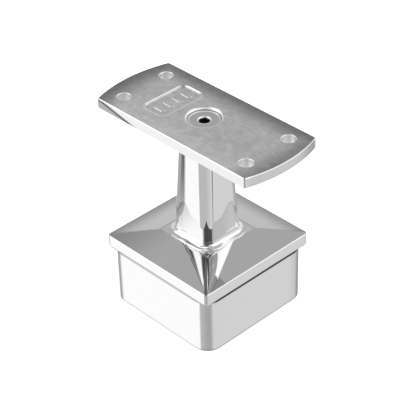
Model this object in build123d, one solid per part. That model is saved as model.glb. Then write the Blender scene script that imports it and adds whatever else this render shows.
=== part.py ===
from build123d import *
import math
import os

# Handrail post top saddle: a cast cap that slides over a square post, with a
# band, a low pyramid roof and a tapered square neck that stands on a thin ring.
# One countersunk socket screw holds a flat saddle plate on the neck.
# Millimetres, +Z up. The origin is the middle of the skirt's bottom rim, and
# +X runs along the plate.

# Post and skirt
post_width = 50.0               # square post that goes into the cap
post_clearance = 0.5            # gap between post and cap, each side
skirt_wall = 3.8
skirt_height = 25.7             # bottom rim to the underside of the band
socket_corner_radius = 3.5      # upright corners inside the skirt
rim_edge_bevel = 0.4            # outer edge of the bottom rim
rim_lead_in = 0.8               # bevel that guides the post in

# Band and roof
band_overhang = 0.7             # how far the band stands out from the skirt
band_height = 6.5
band_corner_radius = 2.0        # upright corners of the band
band_lower_radius = 1.8         # rolled lower edge of the band
band_upper_bevel = 0.3          # crisp upper edge, where the roof starts
roof_wall = 5.2                 # band's upper edge down to the socket's ceiling
roof_rise = 4.4                 # band's upper edge up to where the four faces would meet
hip_radius = 0.3                # rounding of the four hips at the neck

# Neck
neck_rise = 52.8                # band's upper edge up to the saddle plate
ring_rise = 2.8                 # band's upper edge up to the top of the ring at its foot
ring_reach = 2.8                # how far the ring stands out from the neck
neck_foot_width = 21.6          # across flats, where it would meet the ring without a fillet
neck_top_width = 16.8           # across flats, under the saddle plate
neck_corner_radius = 4.5
neck_foot_fillet = 2.6

# Saddle plate
plate_length = 91.0             # over the crowns of the curved ends
plate_width = 40.0
plate_thickness = 4.7
plate_end_radius = 60.0         # plan radius of the two ends
plate_corner_radius = 1.0
plate_edge_bevel = 0.35
rail_hole_diameter = 6.0        # four holes for the rail's screws
rail_hole_spacing_x = 70.0
rail_hole_spacing_y = 23.5
rail_hole_bevel = 0.2
stamp_length = 23.2             # shallow sunken field across the plate
stamp_width = 12.0
stamp_depth = 0.4
stamp_corner_radius = 2.8
stamp_offset = 18.2             # middle of the field, back from the screw

# Saddle screw, M6, with its thread left out
thread_diameter = 6.0
screw_length = 20.0             # over all, head included
head_diameter = 12.9
head_angle = 90.0               # degrees, full angle of the head's cone
head_sink = 1.25                # top of the head below the top of the plate
hex_across_flats = 4.0
hex_depth = 2.4
hex_rim_diameter = 5.4          # bevelled mouth of the hexagon
screw_hole_clearance = 0.3      # round the thread, in the plate
thread_clearance = 0.03         # round the thread, in the neck
thread_run_out = 4.0            # tapped hole beyond the screw's tip

# Levels
band_bottom = skirt_height
band_top = band_bottom + band_height
plate_bottom = band_top + neck_rise
plate_top = plate_bottom + plate_thickness

# Half widths
socket_half = post_width / 2 + post_clearance
skirt_half = socket_half + skirt_wall
band_half = skirt_half + band_overhang
eaves_half = band_half - band_upper_bevel

# Neck and the ring at its foot
foot_half = neck_foot_width / 2
ring_level = band_top + ring_rise

# Countersink and tapped hole, from the screw that goes in them
cone_slope = math.tan(math.radians(head_angle / 2))
head_height = (head_diameter - thread_diameter) / 2 / cone_slope
head_top = plate_top - head_sink
screw_tip = head_top - screw_length
countersink_diameter = head_diameter + 2 * head_sink * cone_slope
screw_hole_diameter = thread_diameter + 2 * screw_hole_clearance
countersink_depth = (countersink_diameter - screw_hole_diameter) / 2 / cone_slope


def rounded_square(half, radius, level):
    """A square face with rounded corners, centred on the axis at one level."""
    return Pos(0, 0, level) * RectangleRounded(2 * half, 2 * half, radius)


def rounded_block(half, radius, low, high):
    """A square block with rounded upright corners between two levels."""
    return extrude(rounded_square(half, radius, low), high - low)


def upright_cylinder(diameter, low, high, x=0, y=0):
    """A cylinder on an upright axis between two levels."""
    middle = (low + high) / 2
    return Pos(x, y, middle) * Cylinder(diameter / 2, high - low)


def upright_cone(low_diameter, high_diameter, low, high):
    """A cone on the axis between two levels."""
    middle = (low + high) / 2
    return Pos(0, 0, middle) * Cone(low_diameter / 2, high_diameter / 2, high - low)


def edges_at(shape, level):
    """The edges that lie flat at one level."""
    tolerance = 1e-4

    def lies_there(edge):
        box = edge.bounding_box()
        return abs(box.min.Z - level) < tolerance and abs(box.max.Z - level) < tolerance

    return shape.edges().filter_by(lies_there)


def screw_passage():
    """Countersink and clearance hole, cut in all that the head passes through."""
    countersink_bottom = plate_top - countersink_depth
    cone = upright_cone(screw_hole_diameter, countersink_diameter, countersink_bottom, plate_top)
    hole = upright_cylinder(screw_hole_diameter, min(plate_bottom, countersink_bottom), plate_top)
    return cone + hole


def make_roof():
    """Low pyramid on the band. Its hips sharpen towards the neck, and hide their end in it.

    The bevel at the band's upper edge comes with the roof.
    """
    peak_half = foot_half / 2
    peak_level = band_top + roof_rise * (1 - peak_half / eaves_half)
    edge = rounded_square(band_half, band_corner_radius, band_top - band_upper_bevel)
    eaves = rounded_square(eaves_half, band_corner_radius - band_upper_bevel, band_top)
    peak = rounded_square(peak_half, hip_radius, peak_level)
    return loft([edge, eaves, peak], ruled=True)


def make_neck():
    """Tapered neck, a square with round corners, and the ring that it stands on.

    The ring starts inside the band, so that it stands on the roof all the way round.
    """
    ring = rounded_block(foot_half + ring_reach, neck_corner_radius + ring_reach,
                         (band_bottom + band_top) / 2, ring_level)
    foot = Pos(0, 0, ring_level) * Rectangle(neck_foot_width, neck_foot_width)
    height = plate_bottom - ring_level
    draft = math.degrees(math.atan((neck_foot_width - neck_top_width) / 2 / height))
    neck = extrude(foot, height, taper=draft)
    corners = neck.edges().filter_by(lambda edge: edge.bounding_box().size.Z > height / 2)
    neck = ring + fillet(corners, neck_corner_radius)

    def on_foot(edge):
        box = edge.bounding_box()
        return max(box.max.X, box.max.Y, -box.min.X, -box.min.Y) < foot_half + ring_reach / 2

    return fillet(edges_at(neck, ring_level).filter_by(on_foot), neck_foot_fillet)


def make_post_cap():
    """Skirt, band, roof and neck, cast in one piece and hollow below."""
    band = rounded_block(band_half, band_corner_radius, band_bottom, band_top - band_upper_bevel)
    band = fillet(edges_at(band, band_bottom), band_lower_radius)
    upper = band + make_roof() + make_neck()

    skirt_corner_radius = socket_corner_radius + skirt_wall
    skirt = rounded_block(skirt_half, skirt_corner_radius, 0, band_bottom + band_height / 2)
    skirt = chamfer(edges_at(skirt, 0), rim_edge_bevel)

    ceiling = band_top - roof_wall
    socket = rounded_block(socket_half, socket_corner_radius, 0, ceiling)
    mouth = rounded_square(socket_half + rim_lead_in, socket_corner_radius + rim_lead_in, 0)
    throat = rounded_square(socket_half, socket_corner_radius, rim_lead_in)
    lead_in = loft([mouth, throat], ruled=True)

    tapped_diameter = thread_diameter + 2 * thread_clearance
    tapped_hole = upright_cylinder(tapped_diameter, screw_tip - thread_run_out, plate_bottom)
    return upper + skirt - socket - lead_in - tapped_hole - screw_passage()


def plate_outline():
    """Plan of the plate: two straight sides and two gently curved ends."""
    half_width = plate_width / 2
    crown = plate_length / 2
    corner = crown - plate_end_radius + math.sqrt(plate_end_radius ** 2 - half_width ** 2)
    sides = [Line((-corner, y), (corner, y)) for y in (-half_width, half_width)]
    ends = [
        ThreePointArc((side * corner, -half_width), (side * crown, 0), (side * corner, half_width))
        for side in (-1, 1)
    ]
    outline = make_face(sides + ends)
    return fillet(outline.vertices(), plate_corner_radius)


def rail_hole(x, y):
    """One screw hole of the plate, with its upper edge broken."""
    hole = upright_cylinder(rail_hole_diameter, plate_bottom, plate_top, x, y)
    bevel = upright_cone(rail_hole_diameter, rail_hole_diameter + 2 * rail_hole_bevel,
                         plate_top - rail_hole_bevel, plate_top)
    return hole + Pos(x, y, 0) * bevel


def make_saddle_plate():
    """Flat plate that the handrail lies on."""
    plate = Pos(0, 0, plate_bottom) * extrude(plate_outline(), plate_thickness)
    plate = chamfer(edges_at(plate, plate_top) + edges_at(plate, plate_bottom), plate_edge_bevel)
    for x in (-rail_hole_spacing_x / 2, rail_hole_spacing_x / 2):
        for y in (-rail_hole_spacing_y / 2, rail_hole_spacing_y / 2):
            plate -= rail_hole(x, y)
    field = RectangleRounded(stamp_width, stamp_length, stamp_corner_radius)
    plate -= Pos(-stamp_offset, 0, plate_top - stamp_depth) * extrude(field, stamp_depth)
    return plate - screw_passage()


def make_saddle_screw():
    """Countersunk hexagon socket screw, with its thread left out."""
    head_bottom = head_top - head_height
    head = upright_cone(thread_diameter, head_diameter, head_bottom, head_top)
    shank = upright_cylinder(thread_diameter, screw_tip, head_bottom)
    hexagon = RegularPolygon(hex_across_flats / 2, 6, major_radius=False)
    hexagon = Pos(0, 0, head_top - hex_depth) * extrude(hexagon, hex_depth)
    rim_depth = (hex_rim_diameter - hex_across_flats) / 2
    rim = upright_cone(hex_across_flats, hex_rim_diameter, head_top - rim_depth, head_top)
    return head + shank - hexagon - rim


def save(node, shape):
    """Write one piece to its own file and print its size."""
    export_step(shape, f"parts/{node}.step")
    box = shape.bounding_box().size
    print(f"{node}: {shape.volume / 1000:.2f} cm3, {box.X:.2f} x {box.Y:.2f} x {box.Z:.2f} mm")


os.makedirs("parts", exist_ok=True)
save("post_cap", make_post_cap())
save("saddle_plate", make_saddle_plate())
save("saddle_screw", make_saddle_screw())
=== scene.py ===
# %% [markdown]
# A handrail post top saddle, dressed for the camera. The real thing is a stainless steel casting,
# polished to a mirror, that slides over a square post. A flat plate with a brushed top lies on its neck,
# and one countersunk socket screw holds it. The shapes come from the CAD frame, and this lesson gives
# them their finish, the light they reflect and the camera that sees them.

# %% Load the frame
import bpy
from math import cos, radians, sin
from mathutils import Matrix, Vector


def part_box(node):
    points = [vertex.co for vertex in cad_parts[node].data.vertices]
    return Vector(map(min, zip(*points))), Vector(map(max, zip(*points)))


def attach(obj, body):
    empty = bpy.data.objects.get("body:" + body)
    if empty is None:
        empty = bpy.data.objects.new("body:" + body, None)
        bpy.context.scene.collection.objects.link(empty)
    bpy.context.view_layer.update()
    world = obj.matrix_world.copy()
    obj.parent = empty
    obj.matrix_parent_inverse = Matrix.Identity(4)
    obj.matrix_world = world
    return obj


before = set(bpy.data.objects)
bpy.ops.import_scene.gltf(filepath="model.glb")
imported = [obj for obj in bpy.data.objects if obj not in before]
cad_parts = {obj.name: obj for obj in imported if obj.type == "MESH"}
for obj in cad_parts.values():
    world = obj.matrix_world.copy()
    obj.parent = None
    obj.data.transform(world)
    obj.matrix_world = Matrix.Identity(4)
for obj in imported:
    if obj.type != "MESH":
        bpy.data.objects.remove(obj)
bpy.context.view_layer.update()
scene = bpy.context.scene
MM = 0.001

cap_low, cap_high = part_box("post_cap")
plate_low, plate_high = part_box("saddle_plate")
screw_low, screw_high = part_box("saddle_screw")
print("cap", cap_low, cap_high)
print("plate", plate_low, plate_high)
print("screw", screw_low, screw_high)

# %% [markdown]
# The camera stands in front of one corner of the cap and looks down on it. Its place was worked out from
# the photograph's own edges: the direction it looks from, how far it stands back, and how it is turned in
# the hand. A Blender camera could be aimed with a constraint, but a matrix built from three axes keeps
# the small roll, and needs no target object to aim at.

# %% Camera
CAMERA_AZIMUTH = radians(46.599)      # 0 looks along +Y
CAMERA_HEIGHT_ANGLE = radians(35.473)
CAMERA_ROLL = radians(-1.483)
CAMERA_DISTANCE = 627.088 * MM
FOCAL_PIXELS = 1519.254
PHOTO_PIXELS = 416
SENSOR_WIDTH = 36.0
AIM = Vector((0, 0, 52.2 * MM))       # point of the axis that the camera is aimed past
AIM_RIGHT = -0.689 * MM
AIM_UP = 5.634 * MM

camera_back = Vector((
    sin(CAMERA_AZIMUTH) * cos(CAMERA_HEIGHT_ANGLE),
    -cos(CAMERA_AZIMUTH) * cos(CAMERA_HEIGHT_ANGLE),
    sin(CAMERA_HEIGHT_ANGLE),
))
level_right = Vector((cos(CAMERA_AZIMUTH), sin(CAMERA_AZIMUTH), 0))
level_up = camera_back.cross(level_right)
camera_right = level_right * cos(CAMERA_ROLL) + level_up * sin(CAMERA_ROLL)
camera_up = level_up * cos(CAMERA_ROLL) - level_right * sin(CAMERA_ROLL)
camera_place = AIM - camera_right * AIM_RIGHT - camera_up * AIM_UP + camera_back * CAMERA_DISTANCE

camera_data = bpy.data.cameras.new("studio_camera")
camera_data.sensor_width = SENSOR_WIDTH
camera_data.lens = FOCAL_PIXELS / PHOTO_PIXELS * SENSOR_WIDTH
camera_data.clip_start = 0.01
camera = bpy.data.objects.new("studio_camera", camera_data)
scene.collection.objects.link(camera)
camera_axes = Matrix((camera_right, camera_up, camera_back)).transposed().to_4x4()
camera.matrix_world = Matrix.Translation(camera_place) @ camera_axes
scene.camera = camera
print("lens", round(camera_data.lens, 1), "mm, camera at", [round(v, 3) for v in camera_place])

# %% [markdown]
# Every finish here is made of shader nodes, so a few short helpers keep the recipes readable. One adds a
# node and sets its sockets, and the others wrap the sums that come up again and again.

# %% Node helpers
def add_node(tree, kind, values=None, **settings):
    """Add one node. A value that is a socket is linked, and any other value is set."""
    node = tree.nodes.new(kind)
    for name, setting in settings.items():
        setattr(node, name, setting)
    for key, value in (values or {}).items():
        if isinstance(value, bpy.types.NodeSocket):
            tree.links.new(value, node.inputs[key])
        else:
            node.inputs[key].default_value = value
    return node


def sum_node(tree, operation, a, b=0.0):
    """One step of arithmetic."""
    return add_node(tree, "ShaderNodeMath", {0: a, 1: b}, operation=operation).outputs[0]


def scale_and_lift(tree, value, factor, lift):
    """value * factor + lift."""
    values = {0: value, 1: factor, 2: lift}
    return add_node(tree, "ShaderNodeMath", values, operation="MULTIPLY_ADD").outputs[0]


def largest(tree, *values):
    """The largest of all the values."""
    result = values[0]
    for value in values[1:]:
        result = sum_node(tree, "MAXIMUM", result, value)
    return result


def product(tree, *values):
    """All the values multiplied together."""
    result = values[0]
    for value in values[1:]:
        result = sum_node(tree, "MULTIPLY", result, value)
    return result


def distance_from(tree, value, place):
    """How far a value is from a place on its scale."""
    return sum_node(tree, "ABSOLUTE", sum_node(tree, "SUBTRACT", value, place))


def step_up(tree, value, start, end):
    """0 below start, 1 above end, and smooth between."""
    values = {"Value": value, "From Min": start, "From Max": end}
    node = add_node(tree, "ShaderNodeMapRange", values, interpolation_type="SMOOTHSTEP")
    return node.outputs["Result"]


def blend_values(tree, share, a, b):
    """a where share is 0, and b where it is 1."""
    return add_node(tree, "ShaderNodeMix", {0: share, 2: a, 3: b}, data_type="FLOAT").outputs[0]


def split(tree, vector):
    """X, Y and Z of a vector."""
    return add_node(tree, "ShaderNodeSeparateXYZ", {0: vector}).outputs


# %% [markdown]
# A mirror shows its surroundings, so the light is half of this material. Here the part stands in a tent
# with a bright wall on its left, a paler one on its right, and a gap in front for the camera. Area lights
# could stand in for those walls, but a polished curve would show their outlines. Instead the world
# is painted by direction. The tent has six kinds of panel, from the black gap to the lamps, and each ring
# of it is a colour ramp that runs once round the part from panel to panel. The rings are blended by
# height, and the camera itself sees plain white.

# %% The tent, ring by ring
LEVEL_SCALE = 2.0       # a ramp holds values up to 1, and the tent is up to twice as bright

# The panels of the tent, by how bright each one is
BLACK = 0.12            # the camera's gap and the gaps between panels
DIM = 0.5               # the open room behind
GREY = 0.65             # cloth in the shade
PALE = 0.85             # the right wall
BRIGHT = 1.3            # the left wall
LAMP = 1.7              # the lamps above the walls

# Each ring names its panels by the angle round the part in degrees, 0 towards the camera and 90 to its right
RING_UNDER = [(-180, DIM), (-155, BLACK), (-145, DIM), (-125, DIM), (-110, BRIGHT), (-100, BLACK),
              (-85, GREY), (60, GREY), (105, BRIGHT), (125, BLACK), (145, GREY), (180, DIM)]
RING_SKIRT = [(-180, GREY), (-155, PALE), (-140, DIM), (-120, DIM), (-100, BRIGHT), (-55, BRIGHT),
              (-45, GREY), (0, DIM), (20, DIM), (40, PALE), (105, PALE), (125, DIM), (180, DIM)]
RING_NECK = [(-180, DIM), (-105, DIM), (-101, BLACK), (-99, BRIGHT), (-65, BRIGHT), (-60, GREY), (0, GREY),
             (50, PALE), (57, PALE), (60, BLACK), (63, BLACK), (66, PALE), (100, PALE), (120, DIM),
             (180, DIM)]
RING_LEVEL = [(-180, PALE), (-120, GREY), (-97, GREY), (-95, LAMP), (-45, LAMP), (-30, DIM), (-25, BLACK),
              (45, BLACK), (50, GREY), (70, PALE), (180, PALE)]
RING_UPPER = [(-180, DIM), (-130, DIM), (-115, LAMP), (-60, LAMP), (-25, DIM), (-15, BLACK), (12, BLACK),
              (25, GREY), (60, BRIGHT), (120, BRIGHT), (145, DIM), (180, DIM)]
RING_HIGH = [(-180, DIM), (-145, DIM), (-130, BLACK), (-110, BLACK), (-97, LAMP), (-85, LAMP), (-60, BLACK),
             (8, BLACK), (15, GREY), (45, GREY), (50, LAMP), (120, LAMP), (145, DIM), (180, DIM)]
RING_TOP = [(-180, GREY), (-120, GREY), (-60, BRIGHT), (60, BRIGHT), (120, BRIGHT), (180, GREY)]
RINGS = (RING_SKIRT, RING_NECK, RING_LEVEL, RING_UPPER, RING_HIGH, RING_TOP)

# Heights in degrees between which each ring gives way to the next one up
CHANGES = [(-55, -50), (-35, -30), (-22, -6), (17, 30), (45, 50), (57, 62)]


def paint_ring(tree, turn, ring):
    """A colour ramp round the part."""
    ramp_node = add_node(tree, "ShaderNodeValToRGB", {"Fac": turn})
    stops = ramp_node.color_ramp.elements
    while len(stops) < len(ring):
        stops.new(0.5)
    for stop, (angle, level) in zip(stops, ring):
        stop.position = angle / 360 + 0.5
        stop.color = (level / LEVEL_SCALE,) * 3 + (1,)
    return ramp_node.outputs["Color"]


def build_tent():
    """The world's nodes: painted rings for reflections, plain white for the camera."""
    world = bpy.data.worlds.new("light_tent")
    world.use_nodes = True
    scene.world = world
    tree = world.node_tree
    tree.nodes.clear()
    direction = add_node(tree, "ShaderNodeTexCoord").outputs["Generated"]

    def along(vector):
        values = {0: direction, 1: vector}
        return add_node(tree, "ShaderNodeVectorMath", values, operation="DOT_PRODUCT").outputs["Value"]

    towards = along((sin(CAMERA_AZIMUTH), -cos(CAMERA_AZIMUTH), 0))
    across = along(level_right)
    height = sum_node(tree, "ARCSINE", along((0, 0, 1)))
    turn = scale_and_lift(tree, sum_node(tree, "ARCTAN2", across, towards), 1 / radians(360), 0.5)

    glow = paint_ring(tree, turn, RING_UNDER)
    for ring, (start, end) in zip(RINGS, CHANGES):
        share = step_up(tree, height, radians(start), radians(end))
        values = {0: share, 6: glow, 7: paint_ring(tree, turn, ring)}
        glow = add_node(tree, "ShaderNodeMix", values, data_type="RGBA").outputs[2]

    tent = add_node(tree, "ShaderNodeBackground", {"Color": glow, "Strength": LEVEL_SCALE}).outputs[0]
    plain = add_node(tree, "ShaderNodeBackground", {"Color": (1, 1, 1, 1), "Strength": 1.0}).outputs[0]
    seen = add_node(tree, "ShaderNodeLightPath").outputs["Is Camera Ray"]
    both = add_node(tree, "ShaderNodeMixShader", {0: seen, 1: tent, 2: plain}).outputs[0]
    add_node(tree, "ShaderNodeOutputWorld", {"Surface": both})


build_tent()
scene.view_settings.view_transform = "Standard"
print("tent rings painted:", len(RINGS) + 1)

# %% [markdown]
# The floor is a sheet of white paper. It glows a little, so it stays as white as the background, and the
# polished steel doesn't reflect it, because the tent's lower rings already say what the steel sees down
# there.

# %% Floor
FLOOR_SIZE = 6.0
bpy.ops.mesh.primitive_plane_add(size=FLOOR_SIZE)
floor = bpy.context.object
floor.name = "floor"
paper = bpy.data.materials.new("white_paper")
paper.use_nodes = True
paper_shader = paper.node_tree.nodes["Principled BSDF"]
paper_shader.inputs["Base Color"].default_value = (0.9, 0.9, 0.9, 1)
paper_shader.inputs["Roughness"].default_value = 1.0
paper_shader.inputs["Emission Color"].default_value = (1, 1, 1, 1)
paper_shader.inputs["Emission Strength"].default_value = 0.6
floor.data.materials.append(paper)
floor.visible_glossy = False

# %% [markdown]
# Some marks are shared by more than one finish, so each is a node group of its own with named inputs.
# Polishing waviness comes first. A buffing wheel never leaves a casting quite flat, and what gives a real
# mirror finish away is that its reflections swim a little. A bump from slow noise does that without any
# change of shape.

# %% Group: polishing waviness
def new_group(name, inputs, outputs):
    """An empty node group with float inputs, and its input and output nodes."""
    group = bpy.data.node_groups.new(name, "ShaderNodeTree")
    for socket_name, value in inputs.items():
        socket = group.interface.new_socket(socket_name, in_out="INPUT", socket_type="NodeSocketFloat")
        socket.default_value = value
    for socket_name, kind in outputs.items():
        group.interface.new_socket(socket_name, in_out="OUTPUT", socket_type=kind)
    return group, group.nodes.new("NodeGroupInput").outputs, group.nodes.new("NodeGroupOutput").inputs


def use_group(tree, group, values):
    """Place a group in a material with values of its own."""
    node = tree.nodes.new("ShaderNodeGroup")
    node.node_tree = group
    for key, value in values.items():
        if isinstance(value, bpy.types.NodeSocket):
            tree.links.new(value, node.inputs[key])
        else:
            node.inputs[key].default_value = value
    return node.outputs


def make_waviness():
    group, given, result = new_group(
        "polishing_waviness", {"Waves per metre": 60.0, "Depth mm": 0.01}, {"Height": "NodeSocketFloat"})
    place = add_node(group, "ShaderNodeTexCoord").outputs["Object"]
    noise = add_node(group, "ShaderNodeTexNoise", {
        "Vector": place, "Scale": given["Waves per metre"], "Detail": 1.0, "Roughness": 0.4})
    depth = sum_node(group, "MULTIPLY", noise.outputs["Fac"], given["Depth mm"])
    group.links.new(sum_node(group, "MULTIPLY", depth, MM), result["Height"])
    return group


waviness = make_waviness()

# %% [markdown]
# Brushing is next. A belt drawn along the plate leaves thousands of fine lines that all run one way.
# Noise that is stretched along X gives lines of many lengths and strengths, which a wave texture can't.
# Slow clouds of a second noise go with them, because a belt never presses evenly.

# %% Group: brushing
def make_brushing():
    group, given, result = new_group(
        "brushing", {"Lines per metre": 3000.0, "Stretch": 20.0, "Clouds per metre": 300.0},
        {"Lines": "NodeSocketFloat", "Clouds": "NodeSocketFloat"})
    place = add_node(group, "ShaderNodeTexCoord").outputs["Object"]
    x, y, z = split(group, place)
    along = sum_node(group, "DIVIDE", x, given["Stretch"])
    squeezed = add_node(group, "ShaderNodeCombineXYZ", {0: along, 1: y, 2: z}).outputs[0]
    lines = add_node(group, "ShaderNodeTexNoise", {
        "Vector": squeezed, "Scale": given["Lines per metre"], "Detail": 3.0, "Roughness": 0.6})
    group.links.new(lines.outputs["Fac"], result["Lines"])
    clouds = add_node(group, "ShaderNodeTexNoise", {
        "Vector": place, "Scale": given["Clouds per metre"], "Detail": 4.0, "Roughness": 0.6})
    group.links.new(clouds.outputs["Fac"], result["Clouds"])
    return group


brushing = make_brushing()

# %% [markdown]
# A lathe leaves rings round its axis, on the screw's head and on the cone that the head sinks in. The
# distance from the upright axis through the origin drives a wave, and a little noise makes the rings
# uneven.

# %% Group: turning rings
def make_turning():
    group, given, result = new_group(
        "turning_rings", {"Rings per mm": 3.0}, {"Rings": "NodeSocketFloat", "Radius mm": "NodeSocketFloat"})
    place = add_node(group, "ShaderNodeTexCoord").outputs["Object"]
    flat = add_node(group, "ShaderNodeVectorMath", {0: place, 1: (1, 1, 0)}, operation="MULTIPLY").outputs[0]
    length = add_node(group, "ShaderNodeVectorMath", {0: flat}, operation="LENGTH").outputs["Value"]
    radius = sum_node(group, "DIVIDE", length, MM)
    uneven = add_node(group, "ShaderNodeTexNoise", {"Vector": place, "Scale": 400.0}).outputs["Fac"]
    phase = sum_node(group, "MULTIPLY", sum_node(group, "ADD", radius, uneven), given["Rings per mm"])
    wave = sum_node(group, "SINE", sum_node(group, "MULTIPLY", phase, radians(360)))
    group.links.new(scale_and_lift(group, wave, 0.5, 0.5), result["Rings"])
    group.links.new(radius, result["Radius mm"])
    return group


turning = make_turning()
print("shared groups:", waviness.name, brushing.name, turning.name)

# %% [markdown]
# Now the materials. Each has its own Principled shader with Metallic at 1, and the groups only feed its
# colour, roughness and normal. A small function starts each one.

# %% Start a metal
def start_metal(name, roughness):
    """A metal with its own Principled shader."""
    metal = bpy.data.materials.new(name)
    metal.use_nodes = True
    tree = metal.node_tree
    shader = tree.nodes["Principled BSDF"]
    shader.inputs["Metallic"].default_value = 1.0
    shader.inputs["Roughness"].default_value = roughness
    return metal, tree, shader


def steel_colour(tree, shader, level):
    """A neutral steel whose brightness is a value that changes over the surface."""
    colour = add_node(tree, "ShaderNodeCombineColor", {0: level, 1: level, 2: level}).outputs[0]
    tree.links.new(colour, shader.inputs["Base Color"])


def bump(tree, shader, height, strength=1.0):
    """Feed a height in metres to the normal."""
    values = {"Height": height, "Distance": 1.0, "Strength": strength}
    tree.links.new(add_node(tree, "ShaderNodeBump", values).outputs[0], shader.inputs["Normal"])


def dress(node, metal):
    """Give a CAD node its finish."""
    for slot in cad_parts[node].material_slots:
        slot.material = metal


# %% [markdown]
# The cap is a mirror-polished casting. A soft wheel leaves no face quite flat: it rolls the neck's faces
# over towards their upright corners, and wears the front crest of the roof round. The ring at the neck's
# foot is a little rougher. The rolled neck and the worn crest are bumps, so the mirrored tent bends over
# them while the solid keeps its plain faces. Painted shade darkens a thin line right under the band, a
# thin line at the rim, a line along the front hip's crest, parts of the roof and the skirt's ends, to
# match the photograph. Every mark is tied to a place on the part.

# %% Polished casting
BAND_HALF = cap_high[0]
BAND_BOTTOM = 25.7 * MM
BAND_TOP = 32.2 * MM
NECK_RING_TOP = 35.0 * MM            # the ring at the neck's foot
NECK_RING_HALF = 13.6 * MM
FOOT_START = 35.6 * MM               # where the ring's duller finish fades out, up the neck
FOOT_END = 36.6 * MM
ROOF_SLOPE = 4.4 / 29.7
HIP_SPREAD = 0.8                     # width of the worn crest for each unit of distance from the band
ROLL_WIDTH = 9 * MM                  # middle of a neck face to its corner
ROLL_DEPTH = 0.56 * MM
CAP_LEVEL = 0.74                     # brightness of the polished steel, and of its ring
NECK_RING_LEVEL = 0.90
CAP_ROUGHNESS = 0.03
NECK_RING_ROUGHNESS = 0.14


def make_polished_casting():
    metal, tree, shader = start_metal("polished_casting", CAP_ROUGHNESS)
    place = add_node(tree, "ShaderNodeTexCoord").outputs["Object"]
    x, y, z = split(tree, place)
    out_x = sum_node(tree, "ABSOLUTE", x)
    out_y = sum_node(tree, "ABSOLUTE", y)
    out = sum_node(tree, "MAXIMUM", out_x, out_y)
    minus_x = sum_node(tree, "MULTIPLY", x, -1.0)
    minus_y = sum_node(tree, "MULTIPLY", y, -1.0)
    far_reach = sum_node(tree, "MAXIMUM", minus_x, y)
    near_reach = sum_node(tree, "MAXIMUM", x, minus_y)
    far_faces = sum_node(tree, "SUBTRACT", far_reach, near_reach)

    # Painted shade on parts of the roof, at the rim, under the band and at the skirt's ends, and the ring's
    # rougher finish
    on_roof = step_up(tree, z, BAND_TOP - 0.1 * MM, BAND_TOP + 0.1 * MM)
    on_ring = product(tree, step_up(tree, out, NECK_RING_HALF + 0.2 * MM, NECK_RING_HALF),
                      step_up(tree, z, FOOT_END, FOOT_START), step_up(tree, z, BAND_TOP, BAND_TOP + 1 * MM))
    # Painted shade: the two far roof faces darken towards the band.
    far_roof_shade = product(tree, step_up(tree, out, 20 * MM, 31 * MM), on_roof,
                       step_up(tree, far_faces, 0.0, 1 * MM), 0.48)
    # Painted shade towards the left end of the near-left roof face.
    facing_left = step_up(tree, sum_node(tree, "SUBTRACT", minus_y, out), -0.2 * MM, 0.0)
    left_end_shade = product(tree, facing_left, on_roof, step_up(tree, minus_x, 2 * MM, 29 * MM), 0.34)
    # Painted shade: a thin dark line along the bottom rim.
    rim_shade = product(tree, step_up(tree, z, 1.5 * MM, 0.3 * MM), 0.42)
    # Painted shade: a thin dark line right under the band, darker along the right-hand face.
    from_band = distance_from(tree, z, BAND_BOTTOM - 0.1 * MM)
    on_right = step_up(tree, x, 27.5 * MM, 28.5 * MM)
    under_band_shade = product(tree, step_up(tree, from_band, 0.7 * MM, 0.35 * MM),
                         blend_values(tree, on_right, 0.40, 0.95))
    # Painted shade: the skirt is darker towards its two outer ends.
    to_right = product(tree, step_up(tree, y, 18 * MM, 29 * MM), 0.38)
    to_left = product(tree, step_up(tree, minus_x, 22 * MM, 29 * MM), 0.25)
    low = step_up(tree, z, BAND_BOTTOM + 0.5 * MM, BAND_BOTTOM)
    skirt_end_shade = product(tree, sum_node(tree, "MAXIMUM", to_right, to_left), low)
    ring_roughness = blend_values(tree, on_ring, CAP_ROUGHNESS, NECK_RING_ROUGHNESS)
    tree.links.new(ring_roughness, shader.inputs["Roughness"])

    # The neck's faces roll over towards their corners
    waves = use_group(tree, waviness, {"Waves per metre": 55.0, "Depth mm": 0.012})
    inner = sum_node(tree, "MINIMUM", out_x, out_y)
    on_neck = step_up(tree, z, NECK_RING_TOP - 0.6 * MM, NECK_RING_TOP - 0.1 * MM)
    roll = product(tree, step_up(tree, inner, 0.0, ROLL_WIDTH), on_neck, -ROLL_DEPTH)

    # The front hip: its crest is rounded off over a width that shrinks to nothing at the band's corner
    spread = sum_node(tree, "MULTIPLY", sum_node(tree, "SUBTRACT", BAND_HALF, out), HIP_SPREAD)
    reach = sum_node(tree, "MAXIMUM", spread, 0.05 * MM)
    from_hip = sum_node(tree, "ABSOLUTE", sum_node(tree, "SUBTRACT", out_x, out_y))
    left_over = sum_node(tree, "MAXIMUM", sum_node(tree, "SUBTRACT", reach, from_hip), 0.0)
    square = sum_node(tree, "MULTIPLY", left_over, left_over)
    crest = sum_node(tree, "DIVIDE", square, sum_node(tree, "MULTIPLY", reach, 4.0))
    in_front = step_up(tree, sum_node(tree, "MINIMUM", x, minus_y), 0.0, 2 * MM)
    outside_ring = step_up(tree, out, NECK_RING_HALF, NECK_RING_HALF + 0.1 * MM)
    on_hip = product(tree, in_front, outside_ring, on_roof)
    worn = product(tree, crest, on_hip, -ROOF_SLOPE)
    # Painted shade: a dark line along the front hip's crest.
    hip_crease_shade = product(tree, step_up(tree, from_hip, 0.8 * MM, 0.3 * MM), on_hip, 0.78)

    # All the painted shade together darkens the steel's colour towards black.
    painted_shade = largest(tree, far_roof_shade, rim_shade, under_band_shade, skirt_end_shade, left_end_shade, hip_crease_shade)
    unshaded_level = blend_values(tree, on_ring, CAP_LEVEL, NECK_RING_LEVEL)
    steel_colour(tree, shader, blend_values(tree, painted_shade, unshaded_level, 0.0))
    bump(tree, shader, sum_node(tree, "ADD", sum_node(tree, "ADD", waves["Height"], roll), worn))
    return metal


dress("post_cap", make_polished_casting())
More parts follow.
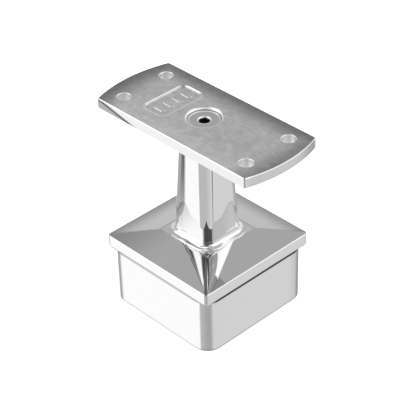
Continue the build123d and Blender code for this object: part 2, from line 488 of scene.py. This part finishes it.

# %% [markdown]
# The plate carries several finishes in one material, because it is one bar of steel that several tools
# have touched. Its top is brushed, with painted shade towards the two ends and the far edge, and painted
# light makes it a little lighter towards the near edge. The walls of the holes and the countersink are as
# the drill left them, and a painted shadow line rings the countersink just outside the screw's head. The
# pressed rims of the sunken field and of the countersink carry a painted highlight all round. The long
# sides are polished, and one has a dark slanting mark at its left end. Masks from the surface's own
# normal and from the place on the plate tell them apart.

# %% Where things are on the plate
PLATE_TOP = plate_high[2]
PLATE_LENGTH = plate_high[0] - plate_low[0]
HALF_LENGTH = PLATE_LENGTH / 2
HALF_WIDTH = (plate_high[1] - plate_low[1]) / 2
FIELD_MIDDLE = -18.2 * MM            # the sunken field lies across the plate, behind the screw
FIELD_HALF_X = 6.0 * MM
FIELD_HALF_Y = 11.6 * MM
FIELD_CORNER = 2.8 * MM
HOLES_REACH_X = 43 * MM              # the drilled walls all lie within this
PLATE_THICKNESS = PLATE_TOP - plate_low[2]
MARK_START = 43 * MM                 # the slanting mark, from the middle of the plate
MARK_LENGTH = 23 * MM

# Radii round the screw in millimetres, as the turning rings count them
CONE_REACH = 8.0
CONE_RIM = 7.7
# The dark line is a painted shadow in the gap round the screw's head.
CONE_SHADOW_LINE = 6.85                     # dark line where the head meets its cone
print("plate", round(PLATE_LENGTH / MM, 1), "mm long, top at", round(PLATE_TOP / MM, 2), "mm")


# %% Masks for the plate
def field_outline(tree, x, y):
    """Distance to the outline of the sunken field, below zero inside it."""
    off_x = sum_node(tree, "SUBTRACT", x, FIELD_MIDDLE)
    past_x = sum_node(tree, "SUBTRACT", sum_node(tree, "ABSOLUTE", off_x), FIELD_HALF_X - FIELD_CORNER)
    past_y = sum_node(tree, "SUBTRACT", sum_node(tree, "ABSOLUTE", y), FIELD_HALF_Y - FIELD_CORNER)
    out_x = sum_node(tree, "MAXIMUM", past_x, 0.0)
    out_y = sum_node(tree, "MAXIMUM", past_y, 0.0)
    corner = add_node(tree, "ShaderNodeCombineXYZ", {0: out_x, 1: out_y}).outputs[0]
    length = add_node(tree, "ShaderNodeVectorMath", {0: corner}, operation="LENGTH").outputs["Value"]
    return sum_node(tree, "SUBTRACT", length, FIELD_CORNER)


def painted_edge_shade(tree, x, y):
    """How much painted shade darkens the top towards the two ends and the far edge."""
    bow = sum_node(tree, "MULTIPLY", sum_node(tree, "MULTIPLY", y, y), 1 / (120 * MM))
    left = step_up(tree, sum_node(tree, "SUBTRACT", bow, x), HALF_LENGTH - 15 * MM, HALF_LENGTH)
    right = step_up(tree, sum_node(tree, "ADD", bow, x), HALF_LENGTH - 12 * MM, HALF_LENGTH + 1 * MM)
    far = step_up(tree, y, HALF_WIDTH - 12 * MM, HALF_WIDTH)
    ends = sum_node(tree, "MAXIMUM", product(tree, left, 0.66), product(tree, right, 0.50))
    return sum_node(tree, "MAXIMUM", ends, product(tree, far, 0.62))


# %% Brushed plate
def make_brushed_plate():
    metal, tree, shader = start_metal("brushed_plate", 0.3)
    coordinates = add_node(tree, "ShaderNodeTexCoord").outputs
    x, y, z = split(tree, coordinates["Object"])
    normal_y, normal_z = split(tree, coordinates["Normal"])[1:]
    top = step_up(tree, normal_z, 0.80, 0.95)
    under = step_up(tree, normal_z, -0.80, -0.95)

    brushed = use_group(tree, brushing, {
        "Lines per metre": 4000.0, "Stretch": 16.0, "Clouds per metre": 320.0})
    grain = scale_and_lift(tree, brushed["Lines"], 0.70, 0.41)
    clouds = scale_and_lift(tree, brushed["Clouds"], 0.50, 0.75)
    # Painted shade darkens the top towards the ends and the far edge, and painted light lightens it towards
    # the near edge.
    light = sum_node(tree, "SUBTRACT", 1.0, painted_edge_shade(tree, x, y))
    near_edge_light = blend_values(tree, step_up(tree, y, -6 * MM, -20 * MM), 0.90, 1.04)
    top_level = product(tree, grain, clouds, light, near_edge_light)

    # Drilled walls
    rings = use_group(tree, turning, {"Rings per mm": 1.2})
    in_hole = product(
        tree, step_up(tree, sum_node(tree, "ABSOLUTE", y), HALF_WIDTH - 0.4 * MM, HALF_WIDTH - 0.5 * MM),
        step_up(tree, sum_node(tree, "ABSOLUTE", x), HOLES_REACH_X, HOLES_REACH_X - 1 * MM),
        sum_node(tree, "SUBTRACT", 1.0, under))
    in_cone = step_up(tree, rings["Radius mm"], CONE_REACH + 0.5, CONE_REACH)
    # Painted shadow: a dark line on the cone just outside the screw's head.
    from_shadow_line = distance_from(tree, rings["Radius mm"], CONE_SHADOW_LINE)
    cone_level = blend_values(tree, step_up(tree, from_shadow_line, 0.25, 0.12), 0.86, 0.16)
    drilled = blend_values(tree, in_cone, 0.90, cone_level)

    # The side with the slanting mark
    near_side = step_up(tree, normal_y, -0.8, -0.95)
    along_mark = sum_node(tree, "DIVIDE", sum_node(tree, "ADD", x, MARK_START), MARK_LENGTH)
    down_side = sum_node(tree, "DIVIDE", sum_node(tree, "SUBTRACT", z, PLATE_TOP), PLATE_THICKNESS)
    slant = sum_node(tree, "ADD", along_mark, down_side)
    mark = blend_values(tree, step_up(tree, slant, -0.20, -0.02), 0.34, 0.07)
    mark = blend_values(tree, step_up(tree, slant, 0.04, 0.14), mark, 0.48)
    mark = blend_values(tree, step_up(tree, slant, 0.16, 0.24), mark, 0.68)
    side_level = blend_values(tree, near_side, 0.66, mark)
    wall_level = blend_values(tree, in_hole, side_level, drilled)

    # Heights: the fine lines everywhere on the top, and the pressed rims on their own
    lines_height = product(tree, brushed["Lines"], top, 0.010 * MM)
    waves = use_group(tree, waviness, {"Waves per metre": 60.0, "Depth mm": 0.010})
    height = sum_node(tree, "ADD", lines_height, waves["Height"])
    plain = add_node(tree, "ShaderNodeBump", {"Height": height, "Distance": 1.0}).outputs[0]
    from_field = field_outline(tree, x, y)
    field_edge = step_up(tree, from_field, -0.1 * MM, 0.9 * MM)
    border = product(tree, top, step_up(tree, from_field, 0.85 * MM, 0.65 * MM),
                     step_up(tree, from_field, 0.0, 0.1 * MM))
    from_cone = sum_node(tree, "SUBTRACT", rings["Radius mm"], CONE_RIM)
    cone_edge = step_up(tree, from_cone, -0.3, 0.5)
    cone_border = product(tree, top, step_up(tree, from_cone, 0.45, 0.25),
                          step_up(tree, from_cone, -0.3, -0.2))
    border = sum_node(tree, "MAXIMUM", border, cone_border)
    rising = product(tree, sum_node(tree, "ADD", field_edge, cone_edge), 1.5 * MM)
    steep = add_node(tree, "ShaderNodeBump", {"Height": rising, "Distance": 1.0}).outputs[0]
    # Painted highlight: the rims of the sunken field and of the countersink are made bright all round.
    rim_highlight_level = blend_values(tree, border, top_level, 0.95)
    steel_colour(tree, shader, blend_values(tree, top, wall_level, rim_highlight_level))
    rough = blend_values(tree, top, blend_values(tree, in_hole, 0.05, 0.45), 0.30)
    tree.links.new(rough, shader.inputs["Roughness"])
    both = add_node(tree, "ShaderNodeMix", {0: border, 4: plain, 5: steep}, data_type="VECTOR").outputs[1]
    tree.links.new(both, shader.inputs["Normal"])
    return metal


plate_metal = make_brushed_plate()
dress("saddle_plate", plate_metal)

# %% [markdown]
# The sunken field carries four plain raised bars, all alike, which is work for Geometry Nodes: one bar is
# drawn as a rounded rectangle, filled and pulled up, and a line of points carries as many of them as are
# asked for. Copies placed by hand would have to be moved one by one when the field changes.

# %% Raised bars
def make_bars_tree():
    tree = bpy.data.node_groups.new("raised_bars", "GeometryNodeTree")
    kinds = {"Geometry": "Geometry", "Bars": "Int", "Metal": "Material"}
    for name in ("Geometry", "Spacing", "Length", "Width", "Corner", "Rise", "Bars", "Metal"):
        tree.interface.new_socket(name, in_out="INPUT", socket_type="NodeSocket" + kinds.get(name, "Float"))
    tree.interface.new_socket("Geometry", in_out="OUTPUT", socket_type="NodeSocketGeometry")
    given = tree.nodes.new("NodeGroupInput").outputs
    result = tree.nodes.new("NodeGroupOutput").inputs

    outline = add_node(tree, "GeometryNodeCurvePrimitiveQuadrilateral",
                       {"Width": given["Length"], "Height": given["Width"]}).outputs["Curve"]
    corners = {"Curve": outline, "Radius": given["Corner"], "Count": 4}
    rounded = add_node(tree, "GeometryNodeFilletCurve", corners, mode="POLY").outputs["Curve"]
    sheet = add_node(tree, "GeometryNodeFillCurve", {"Curve": rounded}, mode="NGONS").outputs["Mesh"]
    pulled = add_node(tree, "GeometryNodeExtrudeMesh",
                      {"Mesh": sheet, "Offset Scale": given["Rise"], "Individual": False}).outputs["Mesh"]
    gap = add_node(tree, "ShaderNodeCombineXYZ", {1: given["Spacing"]}).outputs[0]
    row = add_node(tree, "GeometryNodeMeshLine", {"Count": given["Bars"], "Offset": gap}).outputs["Mesh"]
    copies = {"Points": row, "Instance": pulled}
    bars = add_node(tree, "GeometryNodeInstanceOnPoints", copies).outputs["Instances"]
    solid = add_node(tree, "GeometryNodeRealizeInstances", {"Geometry": bars}).outputs["Geometry"]
    dressed = add_node(tree, "GeometryNodeSetMaterial", {"Geometry": solid, "Material": given["Metal"]})
    tree.links.new(dressed.outputs["Geometry"], result["Geometry"])
    return tree


def grow(name, tree, values):
    """Run a Geometry Nodes tree once, and keep what it makes as an object of its own."""
    start = bpy.data.objects.new(name + "_start", bpy.data.meshes.new(name + "_start"))
    scene.collection.objects.link(start)
    modifier = start.modifiers.new("grow", "NODES")
    modifier.node_group = tree
    for item in tree.interface.items_tree:
        if item.in_out == "INPUT" and item.name in values:
            modifier[item.identifier] = values[item.name]
    evaluated = start.evaluated_get(bpy.context.evaluated_depsgraph_get())
    piece = bpy.data.objects.new(name, bpy.data.meshes.new_from_object(evaluated))
    scene.collection.objects.link(piece)
    start.modifiers.clear()
    bpy.data.objects.remove(start)
    return piece


BARS = 4
BAR_SPACING = 4.9 * MM
FIELD_FLOOR = PLATE_TOP - 0.4 * MM
raised_bars = grow("raised_bars", make_bars_tree(), {
    "Bars": BARS, "Spacing": BAR_SPACING, "Length": 5.6 * MM, "Width": 2.2 * MM, "Corner": 0.9 * MM,
    "Rise": 0.3 * MM, "Metal": plate_metal})
first_bar = Vector((FIELD_MIDDLE, -BAR_SPACING * (BARS - 1) / 2, FIELD_FLOOR))
raised_bars.data.transform(Matrix.Translation(first_bar))
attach(raised_bars, "root")
print("raised bars:", BARS, "with", len(raised_bars.data.polygons), "faces")

# %% [markdown]
# The screw comes plain from the lathe. Its rings are fine, painted highlights ring the hexagon's rim and
# the head's edge, and the hexagon is dark because little light reaches the bottom of it.

# %% Turned screw
HEXAGON_RIM = 2.75                   # radii in millimetres, as the turning rings count them
HEAD_EDGE = 6.2


def make_turned_screw():
    metal, tree, shader = start_metal("turned_screw", 0.28)
    rings = use_group(tree, turning, {"Rings per mm": 1.6})
    level = scale_and_lift(tree, rings["Rings"], 0.14, 0.56)
    # Painted highlight: a bright ring at the rim of the hexagon.
    from_rim = distance_from(tree, rings["Radius mm"], HEXAGON_RIM)
    level = blend_values(tree, step_up(tree, from_rim, 0.35, 0.2), level, 1.0)
    # Painted highlight: a bright ring near the head's edge.
    from_edge = distance_from(tree, rings["Radius mm"], HEAD_EDGE)
    level = blend_values(tree, step_up(tree, from_edge, 0.3, 0.15), level, 0.82)
    place = add_node(tree, "ShaderNodeTexCoord").outputs["Object"]
    z = split(tree, place)[2]
    head_level = screw_high[2]
    deep = step_up(tree, z, head_level - 0.15 * MM, head_level - 0.5 * MM)
    inside = step_up(tree, rings["Radius mm"], HEXAGON_RIM + 0.15, HEXAGON_RIM - 0.15)
    dark = product(tree, deep, inside, 0.9)
    steel_colour(tree, shader, blend_values(tree, dark, level, 0.02))
    bump(tree, shader, sum_node(tree, "MULTIPLY", rings["Rings"], 0.004 * MM))
    return metal


dress("saddle_screw", make_turned_screw())
